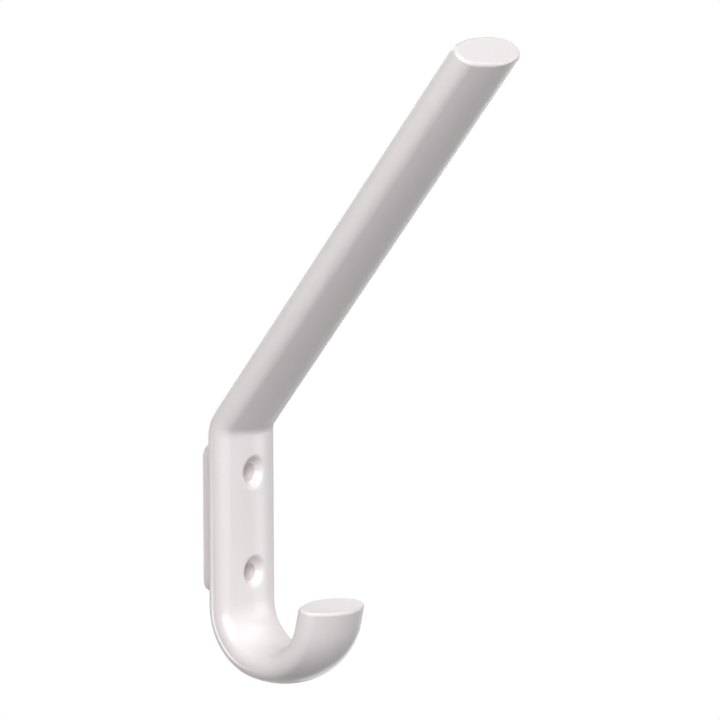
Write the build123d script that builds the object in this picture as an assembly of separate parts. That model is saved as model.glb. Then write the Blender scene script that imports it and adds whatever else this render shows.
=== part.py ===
from build123d import *
from math import cos, radians, sin, tan
import os

# Hat and coat hook, moulded in one piece. Millimetres, +Z up, the hook faces -Y.
# The origin is on the wall, midway between the two screws.

# Mounting strap: the flattened bar that the screws go through
strap_width = 21.0
strap_thickness = 8.6
strap_edge = 3.5

# Wall pad behind the strap, which keeps the strap off the wall
pad_width = 13.6
pad_height = 37.0
pad_rise = 0.8
pad_thickness = 2.6
pad_corner = 3.1
pad_root = 1.8
pad_edge = 0.3

# Two countersunk screws, one above the other
screw_spacing = 25.0
screw_bore = 4.5
head_recess = 8.2
head_angle = 90.0
recess_edge = 1.0

# Bend from the strap into the leaning hat peg
bend_height = 24.3
bend_radius = 6.8
peg_lean = 38.9

# Hat peg: a bar that grows steadily up to its straight end
peg_length = 126.9
peg_width = 23.0
peg_thickness = 10.1
peg_edge = 3.8
peg_straight = 6.0

# Coat hook: an arc forward and up, wider and thicker towards its straight end
hook_drop = 20.3
hook_radius = 14.2
hook_turn = 167.0
tip_width = 22.0
tip_thickness = 10.1
tip_edge = 3.1
tip_straight = 5.2

# Both ends of the bar are cut off square, with a rounded rim
end_rim = 0.9

# Lofting stations round the coat hook, and how far the recess tool reaches past the strap
hook_sections = 13
past_face = 1.5

strap_depth = pad_thickness + strap_thickness
middle = -(pad_thickness + strap_thickness / 2)
strap_size = (strap_width, strap_thickness, strap_edge)
peg_size = (peg_width, peg_thickness, peg_edge)
tip_size = (tip_width, tip_thickness, tip_edge)


def section(width, depth, edge_radius):
    """Oval of four tangent arcs: two crowned faces along X, joined by two rounded edges."""
    half_width = width / 2
    half_depth = depth / 2
    inset = half_width - edge_radius
    crown = (inset**2 + half_depth**2 - edge_radius**2) / (2 * (half_depth - edge_radius))
    x = inset * crown / (crown - edge_radius)
    y = (crown - half_depth) * edge_radius / (crown - edge_radius)
    corners = [(x, -y), (x, y), (-x, y), (-x, -y)]
    crests = [(half_width, 0), (0, half_depth), (-half_width, 0), (0, -half_depth)]
    arcs = []
    for i in range(4):
        arcs.append(Edge.make_three_point_arc(corners[i], crests[i], corners[(i + 1) % 4]))
    return make_face(arcs)


def between(start, end, share):
    """The (width, depth, edge radius) this share of the way from one size to another."""
    return [a + (b - a) * share for a, b in zip(start, end)]


def square_end(outline, along, length):
    """Straight end of the bar, cut off square, with a rounded rim."""
    stub = extrude(outline, length, dir=along)
    lid = stub.faces().sort_by(Axis((0, 0, 0), along))[-1]
    return fillet(lid.edges(), end_rim)


def strap():
    """Straight bar from the start of the coat hook to the start of the bend."""
    top = bend_height - bend_radius * tan(radians(peg_lean) / 2)
    return extrude(Pos(0, middle, -hook_drop) * section(*strap_size), top + hook_drop)


def bend():
    """The strap's own section turned forward through the lean of the peg."""
    start = bend_height - bend_radius * tan(radians(peg_lean) / 2)
    axis = Axis((0, middle - bend_radius, start), (1, 0, 0))
    return revolve(Pos(0, middle, start) * section(*strap_size), axis, peg_lean)


def peg():
    """Leaning bar that grows from the strap's section at the bend, then a straight square end."""
    lean = radians(peg_lean)
    along = Vector(0, -sin(lean), cos(lean))
    corner = Vector(0, middle, bend_height)
    foot = corner + along * (bend_radius * tan(lean / 2))
    head = corner + along * (peg_length - peg_straight)
    lower = Plane(foot, x_dir=(1, 0, 0), z_dir=along) * section(*strap_size)
    upper = Plane(head, x_dir=(1, 0, 0), z_dir=along) * section(*peg_size)
    return loft([lower, upper]) + square_end(upper, along, peg_straight)


def coat_hook():
    """Arc forward and up from the strap, then a straight square end."""
    centre = Vector(0, middle - hook_radius, -hook_drop)
    stations = []
    for i in range(hook_sections):
        share = i / (hook_sections - 1)
        turn = radians(hook_turn) * share
        ease = share * share * (3 - 2 * share)
        point = centre + Vector(0, cos(turn), -sin(turn)) * hook_radius
        along = Vector(0, -sin(turn), -cos(turn))
        place = Plane(point, x_dir=(1, 0, 0), z_dir=along)
        stations.append(place * section(*between(strap_size, tip_size, ease)))
    return loft(stations) + square_end(stations[-1], along, tip_straight)


def wall_pad():
    """Flat pad behind the strap, with its root sunk into the strap."""
    outline = Plane.XZ * Pos(0, pad_rise) * RectangleRounded(pad_width, pad_height, pad_corner)
    pad = extrude(outline, pad_thickness + pad_root)
    wall_edges = pad.faces().sort_by(Axis.Y)[-1].edges()
    return chamfer(wall_edges, pad_edge)


def screw_tool(height):
    """Bore and head recess of one screw, cut along Y, a little past the strap's face."""
    place = Plane((0, 0, height), x_dir=(1, 0, 0), z_dir=(0, -1, 0))
    from_wall = (Align.CENTER, Align.CENTER, Align.MIN)
    flare = tan(radians(head_angle) / 2)
    cone_depth = (head_recess - screw_bore) / 2 / flare
    bore = Cylinder(screw_bore / 2, strap_depth, align=from_wall)
    cone = Cone(
        screw_bore / 2,
        head_recess / 2 + past_face * flare,
        cone_depth + past_face,
        align=from_wall,
    )
    return place * (bore + Pos(0, 0, strap_depth - cone_depth) * cone)


def hook_body():
    body = strap() + bend() + peg() + coat_hook() + wall_pad()
    for height in (-screw_spacing / 2, screw_spacing / 2):
        body = body - screw_tool(height)
    recesses = [face for face in body.faces().filter_by(GeomType.CONE) if face.center().Y < middle]
    mouths = [face.edges().sort_by(Edge.length)[-1] for face in recesses]
    return fillet(mouths, recess_edge)


os.makedirs("parts", exist_ok=True)
body = hook_body()
export_step(body, "parts/hook_body.step")
print("hook_body", round(body.volume), "mm3", body.bounding_box())
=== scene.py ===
import bpy
from math import cos, radians, sin
from mathutils import Matrix, Vector


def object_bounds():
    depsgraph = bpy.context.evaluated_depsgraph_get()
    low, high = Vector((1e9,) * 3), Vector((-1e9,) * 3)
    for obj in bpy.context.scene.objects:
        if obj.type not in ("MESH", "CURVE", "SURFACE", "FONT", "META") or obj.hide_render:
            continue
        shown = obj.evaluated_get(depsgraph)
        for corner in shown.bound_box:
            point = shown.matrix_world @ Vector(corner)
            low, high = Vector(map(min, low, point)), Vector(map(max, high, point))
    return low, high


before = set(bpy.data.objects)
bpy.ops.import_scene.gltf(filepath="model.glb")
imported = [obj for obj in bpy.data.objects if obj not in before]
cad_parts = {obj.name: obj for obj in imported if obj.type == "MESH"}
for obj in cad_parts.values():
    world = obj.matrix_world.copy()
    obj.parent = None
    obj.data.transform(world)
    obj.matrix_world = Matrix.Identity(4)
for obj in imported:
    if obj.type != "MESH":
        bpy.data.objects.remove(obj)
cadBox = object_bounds()
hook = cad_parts["hook_body"]
mmPerMetre = 1000
print("frame loaded")


def linearColour(hexText):
    # sRGB hex to the linear values that colour sockets take
    parts = [int(hexText[i:i + 2], 16) / 255 for i in (1, 3, 5)]
    linear = [p / 12.92 if p <= 0.04045 else ((p + 0.055) / 1.055) ** 2.4 for p in parts]
    return linear + [1.0]


def addNode(tree, kind, settings=None, links=None):
    # a setting goes to the socket of that name or number or, failing that, to the node's own option
    node = tree.nodes.new(kind)
    for name, value in (settings or {}).items():
        if isinstance(name, int) or name in node.inputs:
            node.inputs[name].default_value = value
        else:
            setattr(node, name, value)
    for name, source in (links or {}).items():
        tree.links.new(source, node.inputs[name])
    return node


def outwardAt(azimuth, elevation):
    # unit vector away from the hook, for angles in degrees: azimuth 0 is its front, 90 its right
    turn, rise = radians(azimuth), radians(elevation)
    return Vector((sin(turn) * cos(rise), -cos(turn) * cos(rise), sin(rise)))


def newMaterial(name):
    material = bpy.data.materials.new(name)
    material.use_nodes = True
    material.node_tree.nodes.clear()
    return material


# Polyamide (nylon), injection moulded in a polished tool: an even off-white with a clear gloss,
# a little light going into the surface, and a very slight waviness from shrinking as it cooled.
nylon = {
    "colour": "#ECE7E8",
    "colourDeep": "#E9E3E4",
    "ior": 1.53,
    "roughness": 0.19,
    "roughnessSpread": 0.03,
    # faint clouding in the resin
    "cloud": {"sizeMm": 22.0, "detail": 3.0, "roughness": 0.5},
    # shrink waviness, peak to peak along the surface
    "wave": {"sizeMm": 9.0, "detail": 1.0, "roughness": 0.4, "depthMm": 0.012},
    # tool texture, drawn coarser than the real one so that it shows
    "grain": {"sizeMm": 0.6, "detail": 2.0, "roughness": 0.5, "depthMm": 0.0012},
    "scatterWeight": 0.12,
    "scatterMm": 1.2,
    "scatterReach": (1.0, 0.85, 0.75),  # red goes a little further in than green and blue
}


def mouldedNylon(values):
    material = newMaterial("white moulded nylon")
    tree = material.node_tree
    place = addNode(tree, "ShaderNodeTexCoord").outputs["Object"]
    noises = {}
    for name in ("cloud", "wave", "grain"):
        noise = values[name]
        noises[name] = addNode(
            tree, "ShaderNodeTexNoise",
            {
                "Scale": mmPerMetre / noise["sizeMm"],
                "Detail": noise["detail"],
                "Roughness": noise["roughness"],
            },
            {"Vector": place},
        ).outputs["Fac"]
    # sockets 6 and 7 are the mix node's two colours, and output 2 is the mixed one
    colour = addNode(
        tree, "ShaderNodeMix",
        {
            "data_type": "RGBA",
            6: linearColour(values["colour"]),
            7: linearColour(values["colourDeep"]),
        },
        {"Factor": noises["cloud"]},
    )
    gloss = addNode(
        tree, "ShaderNodeMapRange",
        {
            "To Min": values["roughness"] - values["roughnessSpread"] / 2,
            "To Max": values["roughness"] + values["roughnessSpread"] / 2,
        },
        {"Value": noises["cloud"]},
    )
    waveBump = addNode(
        tree, "ShaderNodeBump",
        {"Strength": 1.0, "Distance": values["wave"]["depthMm"] / mmPerMetre},
        {"Height": noises["wave"]},
    )
    grainBump = addNode(
        tree, "ShaderNodeBump",
        {"Strength": 1.0, "Distance": values["grain"]["depthMm"] / mmPerMetre},
        {"Height": noises["grain"], "Normal": waveBump.outputs["Normal"]},
    )
    surface = addNode(
        tree, "ShaderNodeBsdfPrincipled",
        {
            "IOR": values["ior"],
            "Subsurface Weight": values["scatterWeight"],
            "Subsurface Radius": values["scatterReach"],
            "Subsurface Scale": values["scatterMm"] / mmPerMetre,
        },
        {
            "Base Color": colour.outputs[2],
            "Roughness": gloss.outputs["Result"],
            "Normal": grainBump.outputs["Normal"],
        },
    )
    addNode(tree, "ShaderNodeOutputMaterial", links={"Surface": surface.outputs["BSDF"]})
    return material


hookNylon = mouldedNylon(nylon)
for materialSlot in hook.material_slots:
    materialSlot.material = hookNylon
print("nylon on the hook")

# The floor lies as far under the hook as under one on a wall. It is painted a pale grey, and its own
# glow brings it near white where it is seen. The world is white where it is seen, and lights faintly.
studio = {
    "floorSize": 10.0,          # metres, and so is floorDrop
    "floorDrop": 1.5,
    "floorColour": "#B8B5B6",
    "floorGlow": 0.75,
    "worldColour": "#C9C4C6",
    "worldStrength": 0.03,
    "worldSeen": 1.0,           # 1 is white
    "seenColour": "#FFFFFF",
}


def seenRays(tree):
    # 1 for what is seen straight, in a reflection or through something clear
    path = addNode(tree, "ShaderNodeLightPath")
    seen = path.outputs["Is Camera Ray"]
    for name in ("Is Glossy Ray", "Is Transmission Ray"):
        seen = addNode(
            tree, "ShaderNodeMath", {"operation": "MAXIMUM"}, {0: seen, 1: path.outputs[name]}
        ).outputs["Value"]
    return seen


def studioFloor(values):
    bpy.ops.mesh.primitive_plane_add(
        size=values["floorSize"],
        location=(0, 0, cadBox[0][2] - values["floorDrop"]),
    )
    floor = bpy.context.object
    floor.name = "floor"
    material = newMaterial("painted studio floor")
    tree = material.node_tree
    paint = addNode(
        tree, "ShaderNodeBsdfDiffuse", {"Color": linearColour(values["floorColour"])}
    )
    # the glow is added to the lit paint and doesn't replace it, so that a shadow can show on it
    glowSeen = addNode(
        tree, "ShaderNodeMath",
        {"operation": "MULTIPLY", 1: values["floorGlow"]},
        {0: seenRays(tree)},
    )
    glow = addNode(
        tree, "ShaderNodeEmission",
        {"Color": linearColour(values["seenColour"])},
        {"Strength": glowSeen.outputs["Value"]},
    )
    both = addNode(
        tree, "ShaderNodeAddShader",
        links={0: paint.outputs["BSDF"], 1: glow.outputs["Emission"]},
    )
    addNode(tree, "ShaderNodeOutputMaterial", links={"Surface": both.outputs["Shader"]})
    floor.data.materials.append(material)


def studioWorld(values):
    world = bpy.data.worlds.new("studio")
    bpy.context.scene.world = world
    world.use_nodes = True
    tree = world.node_tree
    tree.nodes.clear()
    light = addNode(
        tree, "ShaderNodeBackground",
        {"Color": linearColour(values["worldColour"]), "Strength": values["worldStrength"]},
    )
    seen = addNode(
        tree, "ShaderNodeBackground",
        {"Color": linearColour(values["seenColour"]), "Strength": values["worldSeen"]},
    )
    mix = addNode(
        tree, "ShaderNodeMixShader",
        links={0: seenRays(tree), 1: light.outputs["Background"], 2: seen.outputs["Background"]},
    )
    addNode(tree, "ShaderNodeOutputWorld", links={"Surface": mix.outputs["Shader"]})


studioFloor(studio)
studioWorld(studio)
print("floor and world")

# Soft boxes: the direction each one stands in from the middle of the hook, how far off it is,
# its width and height in metres, its power in watts and its colour
lamps = {
    "keyLeft": {
        "azimuth": -67, "elevation": 20, "distance": 1.6,
        "size": (1.0, 1.1), "power": 9.2, "colour": "#FFFFFF",
    },
    "keyFront": {
        "azimuth": -45, "elevation": 20, "distance": 1.6,
        "size": (1.0, 1.1), "power": 11.5, "colour": "#FFFFFF",
    },
    "front": {
        "azimuth": 0, "elevation": 30, "distance": 1.6,
        "size": (0.7, 0.7), "power": 1.8, "colour": "#FFFFFF",
    },
    "above": {
        "azimuth": -30, "elevation": 42, "distance": 1.6,
        "size": (1.2, 1.1), "power": 11.9, "colour": "#FFFFFF",
    },
    "frontRight": {
        "azimuth": 58, "elevation": 2, "distance": 1.6,
        "size": (0.5, 0.8), "power": 2.6, "colour": "#FFFFFF",
    },
    "highRight": {
        "azimuth": 60, "elevation": 50, "distance": 1.6,
        "size": (0.9, 0.9), "power": 2.8, "colour": "#FFFFFF",
    },
    "edgeRight": {
        "azimuth": 116, "elevation": -28, "distance": 1.6,
        "size": (0.45, 0.9), "power": 1.0, "colour": "#FFFFFF",
    },
    "behind": {
        "azimuth": 203, "elevation": -20, "distance": 1.6,
        "size": (0.6, 0.6), "power": 6.5, "colour": "#FFF6F8",
    },
    "backFill": {
        "azimuth": 160, "elevation": 30, "distance": 1.6,
        "size": (0.9, 0.9), "power": 9.0, "colour": "#FFFFFF",
    },
}


def addLamps(boxes):
    middle = Vector([(cadBox[0][i] + cadBox[1][i]) / 2 for i in range(3)])
    for name, values in boxes.items():
        outward = outwardAt(values["azimuth"], values["elevation"])
        data = bpy.data.lights.new(name, "AREA")
        data.shape = "RECTANGLE"
        data.size, data.size_y = values["size"]
        data.energy = values["power"]
        data.color = linearColour(values["colour"])[:3]
        lamp = bpy.data.objects.new(name, data)
        lamp.location = middle + outward * values["distance"]
        lamp.rotation_euler = outward.to_track_quat("Z", "Y").to_euler()
        bpy.context.collection.objects.link(lamp)


addLamps(lamps)
print("lamps")

# A long lens from the hook's front left, a little above it. It aims at a point that lies acrossM
# and upM from the frame's origin, along the camera's own right and up.
cameraSetup = {
    "azimuth": -50.0,
    "elevation": 7.9,
    "roll": -0.3,
    "distance": 3.43,           # metres from the point it aims at
    "lens": 690.6,              # millimetres, and so is sensorWidth
    "sensorWidth": 36.0,
    "clipEnd": 100.0,
    "acrossM": 0.0347,
    "upM": 0.0393,
}


def addCamera(values):
    turn, roll = radians(values["azimuth"]), radians(values["roll"])
    back = outwardAt(values["azimuth"], values["elevation"])
    right = Vector((cos(turn), sin(turn), 0))
    up = back.cross(right)
    rolledRight = right * cos(roll) + up * sin(roll)
    rolledUp = up * cos(roll) - right * sin(roll)
    aim = rolledRight * values["acrossM"] + rolledUp * values["upM"]
    data = bpy.data.cameras.new("camera")
    data.lens = values["lens"]
    data.sensor_width = values["sensorWidth"]
    data.clip_end = values["clipEnd"]
    camera = bpy.data.objects.new("camera", data)
    turned = Matrix((rolledRight, rolledUp, back)).transposed().to_4x4()
    camera.matrix_world = Matrix.Translation(aim + back * values["distance"]) @ turned
    bpy.context.collection.objects.link(camera)
    bpy.context.scene.camera = camera


addCamera(cameraSetup)
bpy.context.scene.view_settings.view_transform = "Standard"
print("camera")
